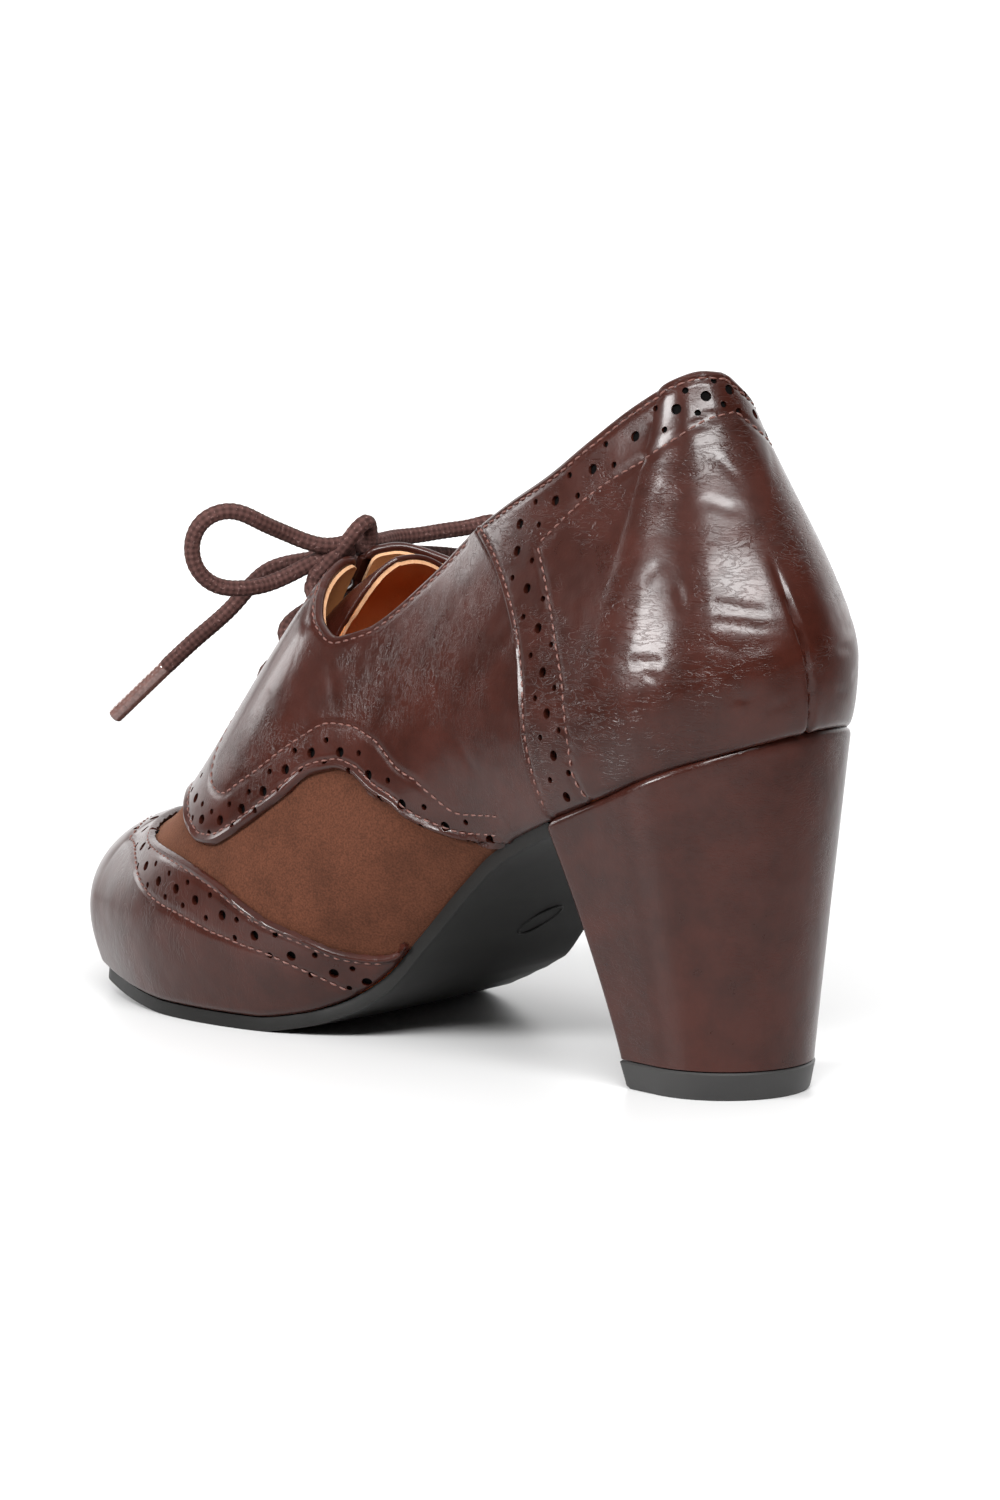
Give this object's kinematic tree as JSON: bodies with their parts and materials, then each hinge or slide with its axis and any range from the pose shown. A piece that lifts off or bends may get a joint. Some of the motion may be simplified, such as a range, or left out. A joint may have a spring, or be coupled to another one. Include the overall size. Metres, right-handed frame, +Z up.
{
  "type": "heeled lace-up brogue shoe",
  "caption": "Heeled lace-up brogue shoe for a left foot: hollow upper with wing toe cap, quarters and heel counter, thin sole, covered block heel and tied lace.",
  "frame": {"origin": "middle of the shoe's length and width, on the floor that heel and forefoot stand on", "axes": "+Z up, toe towards -X, heel towards +X, outer side towards -Y, inner side towards +Y"},
  "size_m": [0.2214, 0.0847, 0.1497],
  "materials": {
    "rubber": "satin black",
    "leather": "glossy crackled dark red-brown",
    "suede": "brown suede",
    "lining": "orange-brown lining",
    "cotton": "matt dark brown braid",
    "clear_tip": "clear coated lace tip"
  },
  "bodies": {
    "root": {"outsole": "rubber", "heel_block": "leather", "heel_top_piece": "rubber", "upper": "suede", "insole": "lining", "tongue": "lining", "toe_cap": "leather", "quarter_outer": "leather", "quarter_inner": "leather", "counter": "leather", "lace_crossings": "cotton", "lace_knot": "cotton", "lace_loop_outer": "cotton", "lace_loop_inner": "cotton", "lace_end_outer": "cotton", "lace_end_inner": "cotton", "lace_tip_outer": "clear_tip", "lace_tip_inner": "clear_tip"}
  },
  "joints": []
}
